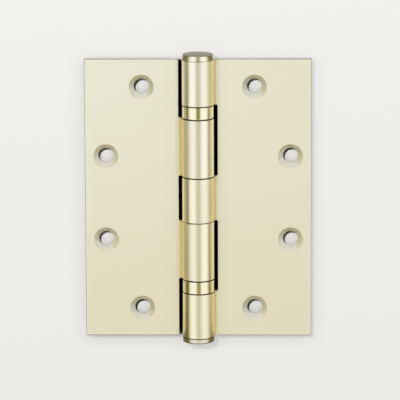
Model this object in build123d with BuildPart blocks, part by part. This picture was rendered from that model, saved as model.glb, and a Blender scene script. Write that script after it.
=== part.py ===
"""Five-knuckle butt hinge with two ball thrust bearings, square corners and flat button tips.

The hinge stands as it hangs on a door: the pin runs along Z, and both leaves lie open in one plane.
Their countersunk faces look towards -Y. The origin is on the pin's axis, half way up the leaves.
Each leaf is one brass sheet: its edge is cut into tabs, and each tab is rolled round the pin into a
knuckle whose closed seam lies against the leaf. A bearing stands in the barrel next to each end
knuckle: a drawn casing, a seat race, a cage of balls, and a necked race that the two-knuckle leaf turns on.
Lengths are in millimetres.
"""

import os
from math import sqrt

from build123d import *

# Leaves
leaf_height = 127.0
open_width = 101.6
leaf_thickness = 3.3
leaf_inset = 0.8  # from the pin's axis back to the countersunk faces: half the gap of the closed hinge
leaf_corner_radius = 0.6
leaf_edge_radius = 0.25
notch_gap = 1.4  # between a leaf's cut-out edge and the barrel
notch_corner_radius = 0.7

# Knuckles
end_knuckle_length = 20.7
centre_knuckle_length = 20.3
knuckle_gap = 0.2
knuckle_edge_radius = 0.3
root_radius = 2.2  # inside bend at the back, where the sheet leaves the leaf to go round the pin
seam_width = 0.12

# Screw holes, countersunk for flat-head screws
hole_diameter = 6.8
countersink_diameter = 11.2
countersink_angle = 82.0
inner_hole_x = 25.3
inner_hole_z = 50.7
outer_hole_x = 41.4
outer_hole_z = 19.1

# Pin
pin_diameter = 7.94
pin_clearance = 0.05
pin_end_chamfer = 1.0
pin_end_gap = 0.5
spigot_diameter = 5.0
spigot_length = 1.5
spigot_clearance = 0.02

# Button tips
tip_height = 2.3
tip_foot_radius = 0.12
top_tip_overhang = 0.4  # beyond the barrel
top_tip_taper = 0.9
top_tip_edge_radius = 0.2
bottom_tip_reveal = 0.05  # the bottom tip is this much slimmer than the barrel
bottom_tip_taper = 0.2
bottom_tip_edge_radius = 0.5
plug_length = 3.5
plug_clearance = 0.02
drift_hole_diameter = 2.6

# Bearings
bearing_height = 6.0
casing_height = 5.7
casing_reveal = 0.07  # the casing is this much slimmer than the barrel
casing_wall = 0.5
casing_floor = 0.4
casing_floor_overlap = 1.9
casing_lip = 0.45
casing_lip_overlap = 0.55
casing_edge_radius = 0.3
race_pin_gap = 0.25
race_casing_gap = 0.08
seat_race_thickness = 1.8
neck_gap = 0.15
lip_gap = 0.1
ball_diameter = 1.588
ball_count = 12
ball_clearance = 0.02
groove_radius = 0.83
groove_depth = 0.35
cage_thickness = 0.6
cage_inset = 0.05
pocket_clearance = 0.06

# Sizes that follow from the ones above
pin_radius = pin_diameter / 2
bore_radius = pin_radius + pin_clearance
knuckle_radius = bore_radius + leaf_thickness
leaf_back = leaf_inset + leaf_thickness
notch_x = knuckle_radius + notch_gap
top_tip_base = knuckle_radius + top_tip_overhang
top_tip_end = top_tip_base - top_tip_taper
bottom_tip_base = knuckle_radius - bottom_tip_reveal
bottom_tip_end = bottom_tip_base - bottom_tip_taper
leaf_top = leaf_height / 2
end_knuckle_face = leaf_top - end_knuckle_length
moving_knuckle_outer = end_knuckle_face - bearing_height
centre_knuckle_face = centre_knuckle_length / 2
moving_knuckle_inner = centre_knuckle_face + knuckle_gap

three_knuckle_spans = [
    (end_knuckle_face, leaf_top),
    (-centre_knuckle_face, centre_knuckle_face),
    (-leaf_top, -end_knuckle_face),
]
two_knuckle_spans = [
    (moving_knuckle_inner, moving_knuckle_outer),
    (-moving_knuckle_outer, -moving_knuckle_inner),
]

casing_radius = knuckle_radius - casing_reveal
casing_bore = casing_radius - casing_wall
race_bore = pin_radius + race_pin_gap
race_radius = casing_bore - race_casing_gap
neck_radius = casing_bore - casing_lip_overlap - neck_gap
pitch_radius = (race_bore + race_radius) / 2
ball_radius = ball_diameter / 2
seat_race_top = casing_floor + seat_race_thickness
ball_height = seat_race_top - groove_depth + ball_clearance + ball_radius
neck_race_bottom = 2 * ball_height - seat_race_top
neck_shoulder = casing_height - casing_lip - lip_gap


def leaf(side, spans):
    """One rolled leaf. side is 1 for the one that reaches towards +X, and spans are its knuckles' heights."""
    plate_width = open_width / 2 - notch_x
    tab_root = bore_radius + leaf_thickness / 4
    tab_width = notch_x - tab_root
    bend_y = leaf_back + root_radius
    bend_x = sqrt((knuckle_radius + root_radius) ** 2 - bend_y**2)
    outward = Vector(side * bend_x, bend_y).normalized()
    touch = outward * knuckle_radius
    middle = outward * (bore_radius + knuckle_radius) / 2
    with BuildPart() as plate:
        with BuildSketch(Plane.XZ.offset(-leaf_back)) as outline:
            with Locations((side * (notch_x + plate_width / 2), 0)):
                Rectangle(plate_width, leaf_height)
            for low, high in spans:
                with Locations((side * (tab_root + tab_width / 2), (low + high) / 2)):
                    Rectangle(tab_width, high - low)
            at_notch = outline.vertices().filter_by(
                lambda v: abs(abs(v.X) - notch_x) < 1e-4 and abs(v.Y) < leaf_top - 1e-4
            )
            fillet(at_notch, notch_corner_radius)
            fillet(outline.vertices().group_by(Axis.X)[-1 if side > 0 else 0], leaf_corner_radius)
        extrude(amount=leaf_thickness)
        faces = plate.faces().filter_by(Axis.Y)
        fillet(faces.edges(), leaf_edge_radius)

        for low, high in spans:
            with BuildSketch(Plane.XY.offset(low)):
                with BuildLine():
                    front = Line((side * tab_root, leaf_inset), (side * notch_x, leaf_inset))
                    edge = Line(front @ 1, (side * notch_x, leaf_back))
                    back = Line(edge @ 1, (side * bend_x, leaf_back))
                    bend = RadiusArc(back @ 1, touch, -side * root_radius)
                    inward = Line(bend @ 1, middle)
                    Line(inward @ 1, front @ 0)
                make_face()
            extrude(amount=high - low)
            with BuildSketch(Plane.XZ) as wall:
                with Locations(((bore_radius + knuckle_radius) / 2, (low + high) / 2)):
                    Rectangle(leaf_thickness, high - low)
                fillet(wall.vertices().group_by(Axis.X)[-1], knuckle_edge_radius)
            revolve(axis=Axis.Z)
            with BuildSketch(Plane.XY.offset(low)):
                Circle(bore_radius)
                with Locations((side * (bore_radius + knuckle_radius) / 2, leaf_inset - seam_width / 2)):
                    Rectangle(2 * leaf_thickness, seam_width)
            extrude(amount=high - low, mode=Mode.SUBTRACT)

        holes = [(inner_hole_x, inner_hole_z), (outer_hole_x, outer_hole_z)]
        for x, z in holes:
            for level in (-z, z):
                with Locations(Plane(origin=(side * x, leaf_inset, level), z_dir=(0, -1, 0))):
                    CounterSinkHole(
                        radius=hole_diameter / 2,
                        counter_sink_radius=countersink_diameter / 2,
                        depth=leaf_thickness,
                        counter_sink_angle=countersink_angle,
                    )
    return plate.part


def turned(points, rounded=()):
    """A ring turned round the pin's axis from an outline of (radius, height) points, some corners rounded."""
    with BuildPart() as ring:
        with BuildSketch(Plane.XZ) as outline:
            with BuildLine():
                Polyline(*points, close=True)
            make_face()
            for corner, radius in rounded:
                nearest = outline.vertices().sort_by_distance((*corner, 0))[0]
                fillet(nearest, radius)
        revolve(axis=Axis.Z)
    return ring.part


def hinge_pin():
    """The steel pin: a plain shaft with a spigot for the top tip and a chamfered lower end."""
    foot = -leaf_top + plug_length + pin_end_gap
    spigot = spigot_diameter / 2
    return turned(
        [
            (0, foot),
            (pin_radius - pin_end_chamfer, foot),
            (pin_radius, foot + pin_end_chamfer),
            (pin_radius, leaf_top),
            (spigot, leaf_top),
            (spigot, leaf_top + spigot_length),
            (0, leaf_top + spigot_length),
        ]
    )


def top_tip():
    """The flat button on the pin's head, wider than the barrel and bored from below for the spigot."""
    socket = spigot_diameter / 2 + spigot_clearance
    socket_top = leaf_top + spigot_length + spigot_clearance
    crown = leaf_top + tip_height
    return turned(
        [
            (0, socket_top),
            (socket, socket_top),
            (socket, leaf_top),
            (top_tip_base, leaf_top),
            (top_tip_end, crown),
            (0, crown),
        ],
        [((top_tip_end, crown), top_tip_edge_radius), ((top_tip_base, leaf_top), tip_foot_radius)],
    )


def bottom_tip():
    """The lower button: a plug pressed into the last knuckle, with a hole for driving the pin out."""
    plug = bore_radius - plug_clearance
    drift_hole = drift_hole_diameter / 2
    crown = -leaf_top - tip_height
    return turned(
        [
            (drift_hole, -leaf_top + plug_length),
            (plug, -leaf_top + plug_length),
            (plug, -leaf_top),
            (bottom_tip_base, -leaf_top),
            (bottom_tip_end, crown),
            (drift_hole, crown),
        ],
        [((bottom_tip_end, crown), bottom_tip_edge_radius), ((bottom_tip_base, -leaf_top), tip_foot_radius)],
    )


def bearing(end):
    """One bearing's pieces by name. end is 1 for the upper one, which hangs from the first knuckle."""

    def height(h):
        return end * (end_knuckle_face - h)

    floor_bore = casing_bore - casing_floor_overlap
    lip_bore = casing_bore - casing_lip_overlap
    casing = turned(
        [
            (floor_bore, height(0)),
            (casing_radius, height(0)),
            (casing_radius, height(casing_height)),
            (lip_bore, height(casing_height)),
            (lip_bore, height(casing_height - casing_lip)),
            (casing_bore, height(casing_height - casing_lip)),
            (casing_bore, height(casing_floor)),
            (floor_bore, height(casing_floor)),
        ],
        [
            ((casing_radius, height(0)), casing_edge_radius),
            ((casing_radius, height(casing_height)), casing_edge_radius),
        ],
    )
    seat_race = grooved(
        turned(
            [
                (race_bore, height(casing_floor)),
                (race_radius, height(casing_floor)),
                (race_radius, height(seat_race_top)),
                (race_bore, height(seat_race_top)),
            ]
        ),
        height(seat_race_top - groove_depth + groove_radius),
    )
    neck_race = grooved(
        turned(
            [
                (race_bore, height(neck_race_bottom)),
                (race_radius, height(neck_race_bottom)),
                (race_radius, height(neck_shoulder)),
                (neck_radius, height(neck_shoulder)),
                (neck_radius, height(bearing_height)),
                (race_bore, height(bearing_height)),
            ]
        ),
        height(neck_race_bottom + groove_depth - groove_radius),
    )
    pieces = {
        "casing": casing,
        "seat_race": seat_race,
        "neck_race": neck_race,
        "cage": cage(height(ball_height)),
    }
    for number, place in enumerate(PolarLocations(pitch_radius, ball_count), 1):
        with BuildPart() as ball:
            with Locations((place.position.X, place.position.Y, height(ball_height))):
                Sphere(ball_radius)
        pieces[f"ball_{number:02d}"] = ball.part
    return pieces


def grooved(race, centre_height):
    """A race with its ball track: a round groove turned in one face."""
    with BuildPart() as tracked:
        add(race)
        with BuildSketch(Plane.XZ):
            with Locations((pitch_radius, centre_height)):
                Circle(groove_radius)
        revolve(axis=Axis.Z, mode=Mode.SUBTRACT)
    return tracked.part


def cage(middle):
    """The flat ring that spaces the balls, with a pocket bored for each."""
    with BuildPart() as spacer:
        with BuildSketch(Plane.XY.offset(middle - cage_thickness / 2)):
            Circle(race_radius - cage_inset)
            Circle(race_bore + cage_inset, mode=Mode.SUBTRACT)
            with PolarLocations(pitch_radius, ball_count):
                Circle(ball_radius + pocket_clearance, mode=Mode.SUBTRACT)
        extrude(amount=cage_thickness)
    return spacer.part


sub_parts = {
    "three_knuckle_leaf": leaf(1, three_knuckle_spans),
    "two_knuckle_leaf": leaf(-1, two_knuckle_spans),
    "hinge_pin": hinge_pin(),
    "top_tip": top_tip(),
    "bottom_tip": bottom_tip(),
}
for place, end in (("upper", 1), ("lower", -1)):
    for piece, solid in bearing(end).items():
        sub_parts[f"{place}_bearing_{piece}"] = solid

os.makedirs("parts", exist_ok=True)
for name, solid in sub_parts.items():
    solid.label = name
    export_step(solid, f"parts/{name}.step")
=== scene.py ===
"""Finishes, studio and camera for the ball bearing butt hinge.

The hinge keeps the shape that the frame gives it: every piece is there at its real size and place.
This script gives each one its finish. The leaves are satin brass, the bearings' casings are polished,
and the pin, races and balls are steel. The stage is a pale surface just behind the barrel.
Lengths are in metres. +Z runs up the pin, and the countersunk faces look towards -Y.
"""

import math
from collections import namedtuple
from functools import reduce

import bpy
from mathutils import Matrix, Vector


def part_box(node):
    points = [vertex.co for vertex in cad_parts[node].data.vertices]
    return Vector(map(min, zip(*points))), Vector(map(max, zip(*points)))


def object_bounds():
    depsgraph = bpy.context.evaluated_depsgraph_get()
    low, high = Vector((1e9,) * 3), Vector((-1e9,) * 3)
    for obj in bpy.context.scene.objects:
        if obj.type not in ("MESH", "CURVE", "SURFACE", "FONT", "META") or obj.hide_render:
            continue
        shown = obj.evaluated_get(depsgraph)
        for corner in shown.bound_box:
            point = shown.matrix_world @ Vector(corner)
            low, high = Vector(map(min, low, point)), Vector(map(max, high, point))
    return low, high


bl_info = {
    "name": "Ball Bearing Butt Hinge",
    "version": (1, 0, 0),
    "blender": (4, 5, 0),
    "location": "3D View > Sidebar > Hinge",
    "description": "Finishes, studio and camera for a brass ball bearing butt hinge",
    "category": "Object",
}

MM = 0.001

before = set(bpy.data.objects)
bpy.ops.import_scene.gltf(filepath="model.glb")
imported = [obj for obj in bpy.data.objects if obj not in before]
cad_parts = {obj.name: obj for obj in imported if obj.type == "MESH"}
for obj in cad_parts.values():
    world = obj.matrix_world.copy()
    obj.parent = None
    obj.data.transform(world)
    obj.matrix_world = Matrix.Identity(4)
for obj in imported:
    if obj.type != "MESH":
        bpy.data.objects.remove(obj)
cad_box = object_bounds()

leaf_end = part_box("three_knuckle_leaf")[1][2]
leaf_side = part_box("three_knuckle_leaf")[1][0]
casing_low, casing_high = (corner[2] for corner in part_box("upper_bearing_casing"))
barrel_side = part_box("upper_bearing_casing")[1][0]
tip_top = cad_box[1][2]

# Where the centre knuckle meets its neighbours, up and down from the middle
CENTRE_JOINT = 10.25 * MM

# The joint line at the inner end of a bearing's casing lies this much outside it
CASING_LINE_GAP = 0.15 * MM

# Each joint of the barrel and how dark it is, from the top tip's to the bottom tip's, and the bottom tip's
# lower rim, whose dark line is painted shade
JOINTS = (
    (leaf_end, 0.15),
    (casing_high, 0.95),
    (casing_low - CASING_LINE_GAP, 1.0),
    (CENTRE_JOINT, 1.0),
    (-CENTRE_JOINT, 0.08),
    (CASING_LINE_GAP - casing_low, 1.0),
    (-casing_high, 0.95),
    (-leaf_end, 0.7),
    # The bottom tip's lower rim: a painted dark shade, not a joint
    (cad_box[0][2] + 0.12 * MM, 0.9),
)

# Zones beside the barrel, from where each starts to where it is full, as distances from the pin's axis
PAST_BARREL = (barrel_side + 0.15 * MM, barrel_side + 0.35 * MM)
ON_LEAF = (barrel_side + 0.35 * MM, barrel_side + 3.25 * MM)
OFF_BARREL = (barrel_side + 0.75 * MM, barrel_side + 1.75 * MM)
PAST_NOTCH = (barrel_side + 1.75 * MM, barrel_side + 2.35 * MM)

# Where the painted golden reflection of a knuckle's root fades into its leaf, for the right leaf and for
# the left one
PAINTED_GOLD_FADES = {
    1: (barrel_side - 0.35 * MM, barrel_side + 0.95 * MM),
    -1: (barrel_side + 0.25 * MM, barrel_side + 2.05 * MM),
}

# The spans over which colours and shadows change slowly, from left to right and from bottom to top
ACROSS = (-50.0 * MM, 50.0 * MM)
UPWARD = (-70.0 * MM, 70.0 * MM)

COUNTERSINK_ANGLE = math.radians(82.0)

# What is a leaf's own: the side of the barrel on which it lies, +1 or -1, its roughness and its colour
Leaf = namedtuple("Leaf", ("root", "roughness", "colour"))


class HingeFinish(bpy.types.PropertyGroup):
    """The metals of the hinge."""

    brass: bpy.props.FloatVectorProperty(
        name="Brass",
        description="Colour of the knuckles, the tips and the bearings' casings",
        subtype="COLOR",
        size=3,
        default=(0.862, 0.815, 0.635),
        min=0.0,
        max=1.0,
    )
    flat_brass: bpy.props.FloatVectorProperty(
        name="Flat brass",
        description="Colour of the leaves away from the barrel",
        subtype="COLOR",
        size=3,
        default=(0.927, 0.884, 0.738),
        min=0.0,
        max=1.0,
    )
    steel: bpy.props.FloatVectorProperty(
        name="Steel",
        description="Colour of the pin, the races and the balls",
        subtype="COLOR",
        size=3,
        default=(0.56, 0.56, 0.55),
        min=0.0,
        max=1.0,
    )
    cage_brass: bpy.props.FloatVectorProperty(
        name="Cage brass",
        description="Colour of the bearings' stamped cages",
        subtype="COLOR",
        size=3,
        default=(0.70, 0.54, 0.27),
        min=0.0,
        max=1.0,
    )
    leaf_roughness: bpy.props.FloatProperty(
        name="Leaf roughness",
        description="How satin the flat of the leaves is",
        subtype="FACTOR",
        default=0.50,
        min=0.0,
        max=1.0,
    )
    knuckle_roughness: bpy.props.FloatProperty(
        name="Knuckle roughness",
        description="How satin the barrel's knuckles are",
        subtype="FACTOR",
        default=0.33,
        min=0.0,
        max=1.0,
    )
    casing_roughness: bpy.props.FloatProperty(
        name="Casing roughness",
        description="How polished the bearings' casings are",
        subtype="FACTOR",
        default=0.14,
        min=0.0,
        max=1.0,
    )
    tip_roughness: bpy.props.FloatProperty(
        name="Tip roughness",
        description="How polished the button tips are",
        subtype="FACTOR",
        default=0.27,
        min=0.0,
        max=1.0,
    )
    grain: bpy.props.FloatProperty(
        name="Grain",
        description="Width of one line of the polishing grain",
        subtype="DISTANCE",
        unit="LENGTH",
        default=0.12 * MM,
        min=0.01 * MM,
        max=1.0 * MM,
    )


class HingeStudio(bpy.types.PropertyGroup):
    """The camera, the lamps and the pale surface behind the hinge."""

    lens: bpy.props.FloatProperty(
        name="Lens",
        description="Focal length on a 36 mm sensor, in millimetres",
        default=364.1,
        min=50.0,
        max=500.0,
    )
    distance: bpy.props.FloatProperty(
        name="Distance",
        description="From the camera to the point that it looks at",
        subtype="DISTANCE",
        unit="LENGTH",
        default=1.816,
        min=0.3,
        max=5.0,
    )
    elevation: bpy.props.FloatProperty(
        name="Elevation",
        description="How far the camera looks down",
        subtype="ANGLE",
        unit="ROTATION",
        default=math.radians(12.26),
    )
    azimuth: bpy.props.FloatProperty(
        name="Azimuth",
        description="How far the camera stands to the right",
        subtype="ANGLE",
        unit="ROTATION",
        default=math.radians(1.05),
    )
    roll: bpy.props.FloatProperty(
        name="Roll",
        description="How far the camera leans",
        subtype="ANGLE",
        unit="ROTATION",
        default=math.radians(-0.22),
    )
    target: bpy.props.FloatVectorProperty(
        name="Target",
        description="The point that the camera looks at",
        subtype="TRANSLATION",
        unit="LENGTH",
        size=3,
        default=(0.80 * MM, 0.0, -0.72 * MM),
    )
    surface_gap: bpy.props.FloatProperty(
        name="Surface gap",
        description="Between the barrel's back and the pale surface",
        subtype="DISTANCE",
        unit="LENGTH",
        default=0.1 * MM,
        min=0.0,
        max=0.1,
    )
    surface: bpy.props.FloatVectorProperty(
        name="Surface",
        description="Colour of the pale surface",
        subtype="COLOR",
        size=3,
        default=(0.95, 0.93, 0.905),
        min=0.0,
        max=1.0,
    )
    even_light: bpy.props.FloatProperty(
        name="Even light",
        description="Share of the surface's light round the hinge that no shadow takes away",
        subtype="FACTOR",
        default=0.83,
        min=0.0,
        max=1.0,
    )
    key_power: bpy.props.FloatProperty(
        name="Key power",
        description="Power of the key lamp",
        subtype="POWER",
        default=62.0,
        min=0.0,
    )
    ambient: bpy.props.FloatProperty(
        name="Ambient",
        description="Strength of the soft light from all round on dull surfaces",
        default=0.06,
        min=0.0,
        max=2.0,
    )


def link(tree, source, target):
    """Join two sockets of a node tree."""
    tree.links.new(source, target)


def node(tree, kind, **values):
    """A new node with its settings."""
    made = tree.nodes.new(kind)
    for name, value in values.items():
        setattr(made, name, value)
    return made


def math_node(tree, operation, *inputs, clamp=False):
    """A Math node: each input is a number or a socket. Gives its output."""
    made = node(tree, "ShaderNodeMath", operation=operation, use_clamp=clamp)
    for place, value in enumerate(inputs):
        if isinstance(value, bpy.types.NodeSocket):
            link(tree, value, made.inputs[place])
        else:
            made.inputs[place].default_value = value
    return made.outputs[0]


def product(tree, *values):
    """All the values multiplied. Each is a socket or a number."""
    return reduce(lambda first, second: math_node(tree, "MULTIPLY", first, second), values)


def largest(tree, *values):
    """The largest of the values. Each is a socket or a number."""
    return reduce(lambda first, second: math_node(tree, "MAXIMUM", first, second), values)


def inverse(tree, mask):
    """A mask that is 1 where the given one is 0."""
    return math_node(tree, "SUBTRACT", 1.0, mask)


def ramp(tree, value, low, high, at_low=0.0, at_high=1.0):
    """A smooth step from at_low to at_high as value goes from low to high."""
    made = node(tree, "ShaderNodeMapRange", interpolation_type="SMOOTHSTEP")
    link(tree, value, made.inputs["Value"])
    made.inputs["From Min"].default_value = low
    made.inputs["From Max"].default_value = high
    made.inputs["To Min"].default_value = at_low
    made.inputs["To Max"].default_value = at_high
    return made.outputs["Result"]


def split(tree, coordinate):
    """The X, Y and Z of one of Texture Coordinate's outputs."""
    place = node(tree, "ShaderNodeTexCoord")
    parts = node(tree, "ShaderNodeSeparateXYZ")
    link(tree, place.outputs[coordinate], parts.inputs[0])
    return tuple(parts.outputs)


def places(tree):
    """A point's X and Z, and how far it lies from the middle along each."""
    x, _, z = split(tree, "Object")
    return x, z, math_node(tree, "ABSOLUTE", x), math_node(tree, "ABSOLUTE", z)


def scaled(colour, *factors):
    """A colour with its three parts multiplied, each by its own factor or all by the same one."""
    each = factors if len(factors) == 3 else factors * 3
    return [min(1.0, part * factor) for part, factor in zip(colour, each)]


def blend(tree, factor, first, second):
    """A mix of two colours. Each is a socket or three numbers, and the factor is a socket."""
    made = node(tree, "ShaderNodeMix", data_type="RGBA", blend_type="MIX")
    link(tree, factor, made.inputs["Factor"])
    for place, value in (("A", first), ("B", second)):
        if isinstance(value, bpy.types.NodeSocket):
            link(tree, value, made.inputs[place])
        else:
            made.inputs[place].default_value = (*value, 1.0)
    return made.outputs["Result"]


def tinted(tree, first, second):
    """Two colours multiplied. The first is a socket, and the second is a socket or three numbers."""
    made = node(tree, "ShaderNodeMix", data_type="RGBA", blend_type="MULTIPLY")
    made.inputs["Factor"].default_value = 1.0
    link(tree, first, made.inputs["A"])
    if isinstance(second, bpy.types.NodeSocket):
        link(tree, second, made.inputs["B"])
    else:
        made.inputs["B"].default_value = (*second, 1.0)
    return made.outputs["Result"]


def number_group(name, inputs, outputs):
    """A new node group of numbers, with its inner ends. inputs gives each input's default."""
    group = bpy.data.node_groups.new(name, "ShaderNodeTree")
    for label, default in inputs.items():
        socket = group.interface.new_socket(label, in_out="INPUT", socket_type="NodeSocketFloat")
        socket.default_value = default
    for label in outputs:
        group.interface.new_socket(label, in_out="OUTPUT", socket_type="NodeSocketFloat")
    return group, node(group, "NodeGroupInput"), node(group, "NodeGroupOutput")


def polish_grain():
    """The node group for the fine lines and faint clouds that polishing leaves on a metal."""
    name = "polish_grain"
    if name in bpy.data.node_groups:
        return bpy.data.node_groups[name]
    sizes = {"Line Width": 0.12 * MM, "Line Length": 6.0 * MM, "Cloud Size": 9.0 * MM}
    group, inside, outside = number_group(name, sizes, ("Lines", "Clouds"))
    place = node(group, "ShaderNodeTexCoord").outputs["Object"]
    parts = node(group, "ShaderNodeSeparateXYZ")
    link(group, place, parts.inputs[0])
    lines_at = node(group, "ShaderNodeCombineXYZ")
    for axis, size in (("X", "Line Width"), ("Y", "Line Width"), ("Z", "Line Length")):
        steps = math_node(group, "DIVIDE", parts.outputs[axis], inside.outputs[size])
        link(group, steps, lines_at.inputs[axis])
    lines = node(group, "ShaderNodeTexNoise", noise_dimensions="3D")
    lines.inputs["Scale"].default_value = 1.0
    lines.inputs["Detail"].default_value = 2.0
    link(group, lines_at.outputs[0], lines.inputs["Vector"])
    clouds = node(group, "ShaderNodeTexNoise", noise_dimensions="3D")
    clouds.inputs["Detail"].default_value = 3.0
    link(group, place, clouds.inputs["Vector"])
    link(group, math_node(group, "DIVIDE", 1.0, inside.outputs["Cloud Size"]), clouds.inputs["Scale"])
    link(group, lines.outputs["Fac"], outside.inputs["Lines"])
    link(group, clouds.outputs["Fac"], outside.inputs["Clouds"])
    return group


def cut_ends():
    """The node group that finds the ends: the faces that look up or down the pin."""
    name = "cut_ends"
    if name in bpy.data.node_groups:
        return bpy.data.node_groups[name]
    group, _, outside = number_group(name, {}, ("Ends",))
    leaning, square_on = 0.80, 0.97
    _, _, upward = split(group, "Normal")
    along = math_node(group, "ABSOLUTE", upward)
    link(group, ramp(group, along, leaning, square_on), outside.inputs["Ends"])
    return group


def joint_lines():
    """The node group that finds the thin dark lines of oil and dust where the barrel's pieces meet, and
    the painted shade along the bottom tip's lower rim.
    """
    name = "joint_lines"
    if name in bpy.data.node_groups:
        return bpy.data.node_groups[name]
    group, inside, outside = number_group(name, {"Line Width": 0.5 * MM}, ("Joints",))
    full, faded = 0.40, 0.75
    _, z, sideways, _ = places(group)
    lines = []
    for height, strength in JOINTS:
        away = math_node(group, "ABSOLUTE", math_node(group, "SUBTRACT", z, height))
        widths = math_node(group, "DIVIDE", away, inside.outputs["Line Width"])
        lines.append(ramp(group, widths, full, faded, strength, 0.0))
    on_barrel = ramp(group, sideways, *PAST_BARREL, 1.0, 0.0)
    link(group, product(group, largest(group, *lines), on_barrel), outside.inputs["Joints"])
    return group


def leaf_rim():
    """The node group that finds a leaf's rim, which gets painted shade, and the lip beside it, which gets
    a painted highlight.

    The rim is the rounded edge of the sides, the top and the bottom, painted dark as if it caught no
    light. The lip runs along the sides, the bottom and the notches beside the barrel.
    """
    name = "leaf_rim"
    if name in bpy.data.node_groups:
        return bpy.data.node_groups[name]
    rim, low_rim, rim_fade = 0.38 * MM, 0.48 * MM, 0.25 * MM
    lip, lip_fade = 1.1 * MM, 0.4 * MM
    group, _, outside = number_group(name, {}, ("Rim", "Lip"))
    _, z, sideways, _ = places(group)
    off_barrel = ramp(group, sideways, *OFF_BARREL)
    side = ramp(group, sideways, leaf_side - rim, leaf_side - rim + rim_fade)
    top = ramp(group, z, leaf_end - rim, leaf_end - rim + rim_fade)
    bottom = ramp(group, z, low_rim - rim_fade - leaf_end, low_rim - leaf_end, 1.0, 0.0)
    edge = largest(group, side, top, bottom)
    link(group, product(group, edge, off_barrel), outside.inputs["Rim"])
    lip_side = ramp(group, sideways, leaf_side - lip, leaf_side - lip + lip_fade)
    lip_bottom = ramp(group, z, lip - lip_fade - leaf_end, lip - leaf_end, 1.0, 0.0)
    notch = ramp(group, sideways, *PAST_NOTCH, 1.0, 0.0)
    inside_rim = largest(group, lip_side, lip_bottom, notch)
    link(group, product(group, inside_rim, off_barrel), outside.inputs["Lip"])
    return group


def countersinks():
    """The node group that finds the countersinks' cones, which are painted lighter, and the lower left
    part of each, which gets a lighter painted sheen.

    A face belongs to a cone if it leans as the cone does, and lies well inside the leaf's outline.
    """
    name = "countersinks"
    if name in bpy.data.node_groups:
        return bpy.data.node_groups[name]
    cone_lean = math.sin(COUNTERSINK_ANGLE / 2)
    group, _, outside = number_group(name, {}, ("Cone", "Lower"))
    _, _, sideways, upright = places(group)
    towards_x, towards_y, towards_z = split(group, "Normal")
    off_lean = math_node(group, "ABSOLUTE", math_node(group, "ADD", towards_y, cone_lean))
    leaning = ramp(group, off_lean, 0.05, 0.15, 1.0, 0.0)
    off_root = ramp(group, sideways, 12.0 * MM, 14.0 * MM)
    off_side = ramp(group, sideways, leaf_side - 2.8 * MM, leaf_side - 1.3 * MM, 1.0, 0.0)
    off_end = ramp(group, upright, leaf_end - 3.0 * MM, leaf_end - 1.5 * MM, 1.0, 0.0)
    cone = product(group, leaning, off_root, off_side, off_end)
    up_and_right = math_node(group, "MULTIPLY_ADD", towards_x, 0.55, towards_z)
    lower = ramp(group, up_and_right, -0.15, 0.55)
    link(group, cone, outside.inputs["Cone"])
    link(group, product(group, cone, lower), outside.inputs["Lower"])
    return group


def leaf_roughness(tree, seen, roughness, leaf):
    """How rough a leaf is. Its knuckles are smoother on the side away from it.

    seen is 1 for the camera. The barrel mirrors the flat of the leaf as if it were smoother.
    """
    mirrored = 0.25
    x, _, sideways, _ = places(tree)
    rootward = product(tree, x, leaf.root)
    knuckle = ramp(tree, rootward, -5.5 * MM, 1.0 * MM, roughness - 0.08, roughness + 0.06)
    flat = math_node(tree, "MULTIPLY_ADD", seen, leaf.roughness - mirrored, mirrored)
    on_leaf = ramp(tree, sideways, *ON_LEAF)
    return math_node(tree, "MULTIPLY_ADD", on_leaf, math_node(tree, "SUBTRACT", flat, knuckle), knuckle)


def own_knuckles(tree, upright, root):
    """The heights at which a leaf has knuckles: the middle and both ends, or what lies between."""
    off_centre = ramp(tree, upright, CENTRE_JOINT - 0.15 * MM, CENTRE_JOINT + 0.15 * MM)
    if root > 0:
        at_end = ramp(tree, upright, casing_high - 0.1 * MM, casing_high + 0.2 * MM)
        return inverse(tree, math_node(tree, "SUBTRACT", off_centre, at_end))
    past_knuckle = ramp(tree, upright, casing_low - 0.2 * MM, casing_low + 0.1 * MM)
    return math_node(tree, "SUBTRACT", off_centre, past_knuckle)


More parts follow.
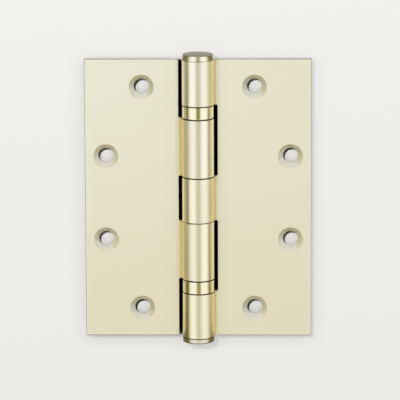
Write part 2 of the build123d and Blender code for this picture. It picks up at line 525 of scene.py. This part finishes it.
def leaf_tone(tree, tone, colour, leaf):
    """A leaf's colour, with painted light. tone is what its knuckles start from, and colour is their plain
    brass.

    A painted sheen makes the leaf and its knuckles lighter towards the top left. Each knuckle has a
    painted highlight and then a painted golden reflection on its flank on the side of its leaf, the most
    golden painted reflection in the root that joins them, and a painted golden reflection again on its far
    edge.
    """
    x, z, sideways, upright = places(tree)
    rootward = product(tree, x, leaf.root)
    on_leaf = ramp(tree, sideways, *ON_LEAF)
    tone = blend(tree, on_leaf, tone, leaf.colour)
    # Painted sheen: lighter towards the top left
    painted_sheen_mask = product(tree, ramp(tree, z, *UPWARD), ramp(tree, x, *ACROSS, 1.0, 0.65))
    knuckle_painted_sheen = scaled(colour, 1.0, 1.02, 1.19)
    leaf_painted_sheen = scaled(leaf.colour, 1.08, 1.134, 1.245)
    tone = blend(tree, painted_sheen_mask, tone, blend(tree, on_leaf, knuckle_painted_sheen, leaf_painted_sheen))
    here = own_knuckles(tree, upright, leaf.root)
    # Painted highlight and then painted golden reflection on each knuckle's flank towards its leaf
    flank = product(tree, inverse(tree, on_leaf), here)
    painted_bright_flank = product(tree, flank, ramp(tree, rootward, 3.3 * MM, 4.9 * MM))
    tone = blend(tree, painted_bright_flank, tone, scaled(colour, 1.12, 1.12, 1.18))
    before_leaf = ramp(tree, rootward, *PAINTED_GOLD_FADES[leaf.root], 1.0, 0.0)
    painted_gold_flank = product(tree, flank, ramp(tree, rootward, 4.9 * MM, 6.2 * MM))
    if leaf.root > 0:
        painted_gold_flank = product(tree, painted_gold_flank, before_leaf)
    tone = blend(tree, painted_gold_flank, tone, scaled(colour, 0.98, 0.92, 0.73))
    # Painted golden reflection in the root
    root_painted_gold = product(tree, ramp(tree, rootward, 6.6 * MM, 7.3 * MM), before_leaf, here)
    tone = blend(tree, root_painted_gold, tone, scaled(colour, 1.00, 0.91, 0.65))
    # Painted golden reflection on the knuckle's far edge
    on_barrel = math_node(tree, "LESS_THAN", sideways, barrel_side + 0.75 * MM)
    far_edge_painted_gold = product(tree, ramp(tree, rootward, -7.3 * MM, -6.5 * MM, 1.0, 0.0), on_barrel)
    return blend(tree, far_edge_painted_gold, tone, scaled(colour, 0.97, 0.90, 0.72))


def leaf_details(tree, shader, tone, leaf, ends):
    """The colour of a leaf with painted light on its countersinks, a painted highlight on its lip and
    painted shade on its rim. It makes the countersinks duller too.
    """
    sunk = node(tree, "ShaderNodeGroup", node_tree=countersinks()).outputs
    # Painted sheen: the cones are painted lighter than the brass, and their lower left part lighter still,
    # where light falls on them
    painted_cone_sheen, painted_lower_cone_sheen = (0.95, 0.91, 0.70), (0.97, 0.95, 0.86)
    tone = blend(tree, sunk["Cone"], tone, painted_cone_sheen)
    tone = blend(tree, sunk["Lower"], tone, painted_lower_cone_sheen)
    shine = math_node(tree, "MULTIPLY_ADD", sunk["Cone"], -0.28, 1.0)
    shine = math_node(tree, "MULTIPLY_ADD", sunk["Lower"], -0.27, shine)
    link(tree, shine, shader.inputs["Metallic"])
    edge = node(tree, "ShaderNodeGroup", node_tree=leaf_rim()).outputs
    # Painted highlight along the lip, and painted shade on the rim
    painted_lip_highlight = scaled(leaf.colour, 1.07, 1.12, 1.25)
    painted_rim_shade = (0.40, 0.37, 0.30)
    tone = blend(tree, product(tree, edge["Lip"], 0.6), tone, painted_lip_highlight)
    return blend(tree, product(tree, edge["Rim"], inverse(tree, ends)), tone, painted_rim_shade)


def end_shade_colour(colour):
    """The painted shade on a metal's ends that look up or down the pin: a darker and greyer colour."""
    brightness, own_share = 0.70, 0.4
    grey = sum(colour) / 3
    return [brightness * (own_share * part + (1 - own_share) * grey) for part in colour]


def metal(name, colour, roughness, grain, joined=True, leaf=None):
    """A metal whose roughness and height follow the polishing grain, with duller ends that carry a painted
    tone.

    A joined piece is part of the barrel and has its dark joint lines. With leaf, the colour and the
    roughness are for the knuckles alone. Mirrored in another piece, the metal gets a deeper painted tint,
    a painted reflection.
    """
    darkest_line, brightest_line = 0.96, 1.03
    cloud_depth = 0.02
    # Ends that look up or down the pin: painted shade, darker and greyer, on the barrel's pieces, and a
    # lighter painted tone on the leaves' own ends
    painted_end_tone, end_rough = end_shade_colour(colour), 0.65
    leaf_end_painted_tone, leaf_end_rough = (0.98, 0.96, 0.92), 0.35
    joint_dirt_and_rim_shade = (0.07, 0.05, 0.015)
    painted_reflection_tint = (0.88, 0.85, 0.70)
    made = bpy.data.materials.new(name)
    made.use_nodes = True
    tree = made.node_tree
    shader = tree.nodes["Principled BSDF"]
    shader.inputs["Metallic"].default_value = 1.0
    grained = node(tree, "ShaderNodeGroup", node_tree=polish_grain())
    grained.inputs["Line Width"].default_value = grain
    ends = node(tree, "ShaderNodeGroup", node_tree=cut_ends()).outputs["Ends"]
    seen = node(tree, "ShaderNodeLightPath").outputs["Is Camera Ray"]
    lines = grained.outputs["Lines"]
    tone = blend(tree, lines, scaled(colour, darkest_line), scaled(colour, brightest_line))
    if leaf:
        roughness = leaf_roughness(tree, seen, roughness, leaf)
        tone = leaf_tone(tree, tone, colour, leaf)
        _, _, sideways, _ = places(tree)
        painted_end_tone = blend(tree, ramp(tree, sideways, *ON_LEAF), painted_end_tone, leaf_end_painted_tone)
        end_rough = ramp(tree, sideways, *ON_LEAF, end_rough, leaf_end_rough)
    wander = math_node(tree, "SUBTRACT", grained.outputs["Clouds"], 0.5)
    wandering = math_node(tree, "MULTIPLY_ADD", wander, cloud_depth, roughness)
    duller = math_node(tree, "SUBTRACT", end_rough, wandering)
    link(tree, math_node(tree, "MULTIPLY_ADD", ends, duller, wandering), shader.inputs["Roughness"])
    tone = blend(tree, ends, tone, painted_end_tone)
    if leaf:
        tone = leaf_details(tree, shader, tone, leaf, ends)
    if joined:
        # Dark joint lines, and painted shade along the bottom tip's lower rim
        joints = node(tree, "ShaderNodeGroup", node_tree=joint_lines()).outputs["Joints"]
        tone = blend(tree, joints, tone, joint_dirt_and_rim_shade)
    # Painted reflection: every ray but the camera's sees the metal a deeper tint
    depth = blend(tree, seen, painted_reflection_tint, (1.0, 1.0, 1.0))
    link(tree, tinted(tree, tone, depth), shader.inputs["Base Color"])
    raised = node(tree, "ShaderNodeBump")
    raised.inputs["Strength"].default_value = 0.01
    raised.inputs["Distance"].default_value = 0.1 * MM
    link(tree, lines, raised.inputs["Height"])
    link(tree, raised.outputs["Normal"], shader.inputs["Normal"])
    return made


def dress(material, *names):
    """Give CAD nodes a material in every slot that they have."""
    for name in names:
        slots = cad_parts[name].data.materials
        if not slots:
            slots.append(material)
        for place in range(len(slots)):
            slots[place] = material


class HINGE_OT_leaves(bpy.types.Operator):
    """Satin brass on the two leaves and their knuckles"""

    bl_idname = "hinge.leaves"
    bl_label = "Finish the leaves"

    def execute(self, context):
        finish = context.scene.hinge_finish
        for name, root in (("three_knuckle_leaf", 1), ("two_knuckle_leaf", -1)):
            leaf = Leaf(root, finish.leaf_roughness, finish.flat_brass)
            rough = finish.knuckle_roughness
            brass = metal("satin_brass_" + name, finish.brass, rough, finish.grain, leaf=leaf)
            dress(brass, name)
        return {"FINISHED"}


class HINGE_OT_tips(bpy.types.Operator):
    """Turned brass on the two button tips"""

    bl_idname = "hinge.tips"
    bl_label = "Finish the tips"

    def execute(self, context):
        finish = context.scene.hinge_finish
        pale = scaled(finish.brass, 0.92, 0.93, 1.03)
        brass = metal("turned_brass", pale, finish.tip_roughness, finish.grain)
        dress(brass, "top_tip", "bottom_tip")
        return {"FINISHED"}


class HINGE_OT_casings(bpy.types.Operator):
    """Polished brass on the bearings' casings"""

    bl_idname = "hinge.casings"
    bl_label = "Finish the bearing casings"

    def execute(self, context):
        finish = context.scene.hinge_finish
        deep = scaled(finish.brass, 0.95)
        brass = metal("polished_brass", deep, finish.casing_roughness, finish.grain)
        dress(brass, "upper_bearing_casing", "lower_bearing_casing")
        return {"FINISHED"}


class HINGE_OT_works(bpy.types.Operator):
    """Steel on the pin, races and balls, and stamped brass on the cages"""

    bl_idname = "hinge.works"
    bl_label = "Finish the pin and the bearings' insides"

    def execute(self, context):
        finish = context.scene.hinge_finish
        bright = scaled(finish.steel, 1.25)
        ground = metal("ground_steel", finish.steel, 0.3, finish.grain, joined=False)
        polished = metal("polished_steel", bright, 0.08, finish.grain, joined=False)
        stamped = metal("stamped_brass", finish.cage_brass, 0.35, finish.grain, joined=False)
        dress(ground, "hinge_pin")
        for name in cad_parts:
            if name.endswith("_race"):
                dress(ground, name)
            elif "_ball_" in name:
                dress(polished, name)
            elif name.endswith("_cage"):
                dress(stamped, name)
        return {"FINISHED"}


def surface_zones(tree, z, sideways, upright):
    """Two masks of the pale surface: what lies round the hinge, and what shows in the barrel's slits,
    where shade is painted.

    The slits end a little further out below, where the camera looks down past them.
    """
    further_below = ramp(tree, z, -10.0 * MM, 10.0 * MM, 2.5 * MM, 0.0)
    past_side = ramp(tree, sideways, leaf_side - 3.8 * MM, leaf_side - 0.5 * MM)
    past_leaf = ramp(tree, upright, leaf_end - 4.5 * MM, leaf_end - 1.0 * MM)
    slit_height = math_node(tree, "SUBTRACT", upright, further_below)
    past_slit = ramp(tree, slit_height, leaf_end - 2.0 * MM, leaf_end - 0.5 * MM)
    beside_barrel = ramp(tree, sideways, barrel_side + 1.75 * MM, barrel_side + 2.75 * MM, 1.0, 0.0)
    later = product(tree, beside_barrel, math_node(tree, "SUBTRACT", past_slit, past_leaf))
    round_hinge = largest(tree, past_side, math_node(tree, "ADD", past_leaf, later))
    return round_hinge, product(tree, beside_barrel, inverse(tree, past_slit))


def painted_soft_shadow(tree, x, z, openness):
    """The share of its even light that the surface keeps near the hinge under a painted soft shadow, least
    of all below it, times a painted brightening upward.
    """
    above = ramp(tree, z, leaf_end - 1.5 * MM, leaf_end + 1.5 * MM, 0.35, 0.10)
    below = ramp(tree, z, -leaf_end - 2.5 * MM, -leaf_end + 1.5 * MM, 0.42, 0.0)
    rightward = ramp(tree, x, *ACROSS, 1.05, 0.70)
    depth = product(tree, math_node(tree, "ADD", above, below), rightward)
    kept = inverse(tree, product(tree, inverse(tree, openness), depth))
    # Painted gradient: the glow grows brighter upward
    painted_upward_brightening = math_node(tree, "MULTIPLY_ADD", z, 0.35, 1.0)
    return product(tree, kept, painted_upward_brightening)


def painted_mirrored_ends(tree, glossy, sideways, upright):
    """The surface's painted tint as the metals mirror it, a painted reflection: dark and golden past the
    barrel's ends.
    """
    far_end = ramp(tree, upright, tip_top + 4.2 * MM, tip_top + 14.2 * MM)
    past_tip = ramp(tree, upright, tip_top, tip_top + 1.7 * MM)
    off_side = ramp(tree, sideways, barrel_side + 1.75 * MM, barrel_side + 6.75 * MM)
    beside_tip = product(tree, past_tip, off_side)
    dimmed = product(tree, largest(tree, far_end, beside_tip), glossy)
    return blend(tree, dimmed, (1.0, 1.0, 1.0), (0.22, 0.19, 0.09))


def show_from_front(tree, shader):
    """The surface's shader, made clear from behind and for rays that have passed a clear layer."""
    clear = node(tree, "ShaderNodeBsdfTransparent")
    path = node(tree, "ShaderNodeLightPath")
    side = node(tree, "ShaderNodeNewGeometry")
    passed = math_node(tree, "GREATER_THAN", path.outputs["Transparent Depth"], 0.5)
    mixed = node(tree, "ShaderNodeMixShader")
    link(tree, largest(tree, side.outputs["Backfacing"], passed), mixed.inputs["Fac"])
    link(tree, shader, mixed.inputs[1])
    link(tree, clear.outputs[0], mixed.inputs[2])
    return mixed.outputs[0]


def surface_material(studio):
    """The pale surface's dull coat, which also glows round the hinge, evenly but for a painted soft shadow
    near it and a painted brightening upward. Painted shade darkens its colour in the barrel's slits and in
    the screw holes.
    """
    made = bpy.data.materials.new("pale_surface")
    made.use_nodes = True
    tree = made.node_tree
    tree.nodes.clear()
    x, z, sideways, upright = places(tree)
    path = node(tree, "ShaderNodeLightPath").outputs
    near = node(tree, "ShaderNodeAmbientOcclusion", samples=16)
    near.inputs["Distance"].default_value = 9.0 * MM
    openness = near.outputs["AO"]
    round_hinge, in_slit = surface_zones(tree, z, sideways, upright)
    mirrored = painted_mirrored_ends(tree, path["Is Glossy Ray"], sideways, upright)

    first_bounce = math_node(tree, "LESS_THAN", path["Diffuse Depth"], 0.5)
    through_metal_or_glass = largest(tree, path["Is Glossy Ray"], path["Is Transmission Ray"])
    seen = largest(tree, product(tree, through_metal_or_glass, first_bounce), path["Is Camera Ray"])
    even = product(tree, round_hinge, studio.even_light, seen)
    glow = node(tree, "ShaderNodeEmission")
    lit = scaled(studio.surface, studio.ambient + 0.855)
    link(tree, tinted(tree, mirrored, lit), glow.inputs["Color"])
    link(tree, product(tree, even, painted_soft_shadow(tree, x, z, openness)), glow.inputs["Strength"])

    # Painted shade: the surface is painted black in the barrel's slits and a little darker in the screw
    # holes
    slit_openness = math_node(tree, "MULTIPLY_ADD", in_slit, -0.25, openness, clamp=True)
    painted_slit_shade = ramp(tree, slit_openness, 0.12, 0.45)
    painted_hole_shade = ramp(tree, openness, 0.45, 1.0, 0.87, 1.0)
    share = product(tree, inverse(tree, even), painted_slit_shade, painted_hole_shade)
    dull = node(tree, "ShaderNodeBsdfDiffuse")
    tone = blend(tree, share, (0.0, 0.0, 0.0), studio.surface)
    link(tree, tinted(tree, tone, mirrored), dull.inputs["Color"])

    both = node(tree, "ShaderNodeAddShader")
    link(tree, dull.outputs[0], both.inputs[0])
    link(tree, glow.outputs[0], both.inputs[1])
    out = node(tree, "ShaderNodeOutputMaterial")
    link(tree, show_from_front(tree, both.outputs[0]), out.inputs["Surface"])
    return made


def lay_surface(studio):
    """The pale surface just behind the barrel. It can't be seen from behind, so the hinge's back can."""
    half_width = 2.0
    bpy.ops.object.select_all(action="DESELECT")
    bpy.ops.mesh.primitive_plane_add(size=2 * half_width, rotation=(math.pi / 2, 0, 0))
    surface = bpy.context.object
    surface.name = "pale_surface"
    bpy.ops.object.transform_apply(location=False, rotation=True, scale=False)
    surface.location.y = cad_box[1][1] + studio.surface_gap
    surface.data.materials.append(surface_material(studio))


def hang_key_lamp(power):
    """A small square lamp in front and a little above. The metals don't mirror it."""
    direction = Vector((-0.18, -1.0, 0.38)).normalized()
    distance = 2.6
    data = bpy.data.lights.new("key", "AREA")
    data.shape = "SQUARE"
    data.size = 0.12
    data.energy = power
    lamp = bpy.data.objects.new("key", data)
    bpy.context.scene.collection.objects.link(lamp)
    lamp.location = direction * distance
    lamp.rotation_euler = direction.to_track_quat("Z", "Y").to_euler()
    lamp.visible_glossy = False


def mirrored_room(tree):
    """What the metals mirror in each direction, as a colour and a strength.

    A bright tent stands in front of the surface. Its sides are dim, it is brightest at the middle's height
    and a little above, and the gap where the camera stands is dark. Some light from behind shows the
    hinge's back.
    """
    x, y, z = split(tree, "Generated")
    frontward = product(tree, y, -1.0)
    facing = math_node(tree, "MULTIPLY_ADD", x, 0.075, frontward)
    in_front = ramp(tree, facing, 0.0, 0.58)
    overhead = ramp(tree, z, 0.86, 0.97)
    behind = ramp(tree, y, 0.12, 0.50, 0.0, 0.62)
    tent = largest(tree, in_front, overhead, behind)
    level = math_node(tree, "MULTIPLY_ADD", tent, 1.06, 0.12)

    gap_turn = 0.055
    round_pin = math_node(tree, "ARCTAN2", x, frontward)
    off_gap = math_node(tree, "ABSOLUTE", math_node(tree, "SUBTRACT", round_pin, gap_turn))
    darkness = inverse(tree, ramp(tree, off_gap, 0.11, 0.40, 0.23, 1.0))
    gap = inverse(tree, product(tree, darkness, ramp(tree, z, -0.50, -0.15)))

    rise = node(tree, "ShaderNodeMapRange")
    link(tree, z, rise.inputs["Value"])
    rise.inputs["From Min"].default_value = -0.45
    rise.inputs["From Max"].default_value = 0.05
    rise.inputs["To Min"].default_value = 0.78
    rise.inputs["To Max"].default_value = 1.24
    dimmer_high_up = ramp(tree, z, 0.30, 0.80, 1.0, 0.72)
    strength = product(tree, level, gap, rise.outputs["Result"], dimmer_high_up)
    whiteness = math_node(tree, "POWER", product(tree, tent, gap), 1.6)
    return blend(tree, whiteness, (1.0, 0.90, 0.34), (1.0, 1.0, 1.0)), strength


def light_room(studio):
    """The room that the metals mirror, a weak even light on dull surfaces, and the key lamp."""
    world = bpy.data.worlds.new("studio")
    bpy.context.scene.world = world
    world.use_nodes = True
    tree = world.node_tree
    tree.nodes.clear()
    path = node(tree, "ShaderNodeLightPath").outputs
    tint, strength = mirrored_room(tree)
    first_bounce = math_node(tree, "LESS_THAN", path["Diffuse Depth"], 0.5)
    glossy = node(tree, "ShaderNodeBackground")
    link(tree, tint, glossy.inputs["Color"])
    link(tree, product(tree, strength, first_bounce), glossy.inputs["Strength"])
    soft = node(tree, "ShaderNodeBackground")
    soft.inputs["Color"].default_value = (1.0, 1.0, 1.0, 1.0)
    soft.inputs["Strength"].default_value = studio.ambient
    shown = node(tree, "ShaderNodeBackground")
    shown.inputs["Color"].default_value = (0.87, 0.86, 0.84, 1.0)
    shader = soft.outputs[0]
    for ray, background in (("Is Glossy Ray", glossy), ("Is Camera Ray", shown)):
        mixed = node(tree, "ShaderNodeMixShader")
        link(tree, path[ray], mixed.inputs["Fac"])
        link(tree, shader, mixed.inputs[1])
        link(tree, background.outputs[0], mixed.inputs[2])
        shader = mixed.outputs[0]
    out = node(tree, "ShaderNodeOutputWorld")
    link(tree, shader, out.inputs["Surface"])
    hang_key_lamp(studio.key_power)


def place_camera(studio):
    """The camera where the photograph was taken from."""
    azimuth, elevation = studio.azimuth, studio.elevation
    back = Vector(
        (
            math.sin(azimuth) * math.cos(elevation),
            -math.cos(azimuth) * math.cos(elevation),
            math.sin(elevation),
        )
    )
    right = (-back).cross(Vector((0, 0, 1))).normalized()
    up = right.cross(-back)
    leaning_right = right * math.cos(studio.roll) + up * math.sin(studio.roll)
    leaning_up = up * math.cos(studio.roll) - right * math.sin(studio.roll)
    data = bpy.data.cameras.new("camera")
    data.lens = studio.lens
    data.sensor_width = 36.0
    data.clip_start = 0.01
    data.clip_end = 50.0
    camera = bpy.data.objects.new("camera", data)
    bpy.context.scene.collection.objects.link(camera)
    turned = Matrix((leaning_right, leaning_up, back)).transposed().to_4x4()
    camera.matrix_world = Matrix.Translation(Vector(studio.target) + back * studio.distance) @ turned
    bpy.context.scene.camera = camera


class HINGE_OT_studio(bpy.types.Operator):
    """The pale surface, the light and the camera"""

    bl_idname = "hinge.studio"
    bl_label = "Set up the studio"

    def execute(self, context):
        studio = context.scene.hinge_studio
        lay_surface(studio)
        light_room(studio)
        place_camera(studio)
        context.scene.view_settings.view_transform = "Standard"
        return {"FINISHED"}


OPERATORS = (
    HINGE_OT_leaves,
    HINGE_OT_tips,
    HINGE_OT_casings,
    HINGE_OT_works,
    HINGE_OT_studio,
)


class HINGE_PT_panel(bpy.types.Panel):
    """The hinge's steps and settings"""

    bl_idname = "HINGE_PT_panel"
    bl_label = "Butt Hinge"
    bl_space_type = "VIEW_3D"
    bl_region_type = "UI"
    bl_category = "Hinge"

    def draw(self, context):
        layout = self.layout
        for operator in OPERATORS:
            layout.operator(operator.bl_idname)
        for settings in (context.scene.hinge_finish, context.scene.hinge_studio):
            box = layout.box()
            for name in settings.bl_rna.properties.keys():
                if name not in ("rna_type", "name"):
                    box.prop(settings, name)


CLASSES = (HingeFinish, HingeStudio, *OPERATORS, HINGE_PT_panel)


def register():
    for made in CLASSES:
        bpy.utils.register_class(made)
    bpy.types.Scene.hinge_finish = bpy.props.PointerProperty(type=HingeFinish)
    bpy.types.Scene.hinge_studio = bpy.props.PointerProperty(type=HingeStudio)


def unregister():
    del bpy.types.Scene.hinge_studio
    del bpy.types.Scene.hinge_finish
    for made in reversed(CLASSES):
        bpy.utils.unregister_class(made)


def main():
    register()
    bpy.ops.hinge.leaves()
    bpy.ops.hinge.tips()
    bpy.ops.hinge.casings()
    bpy.ops.hinge.works()
    bpy.ops.hinge.studio()


if __name__ == "__main__":
    main()
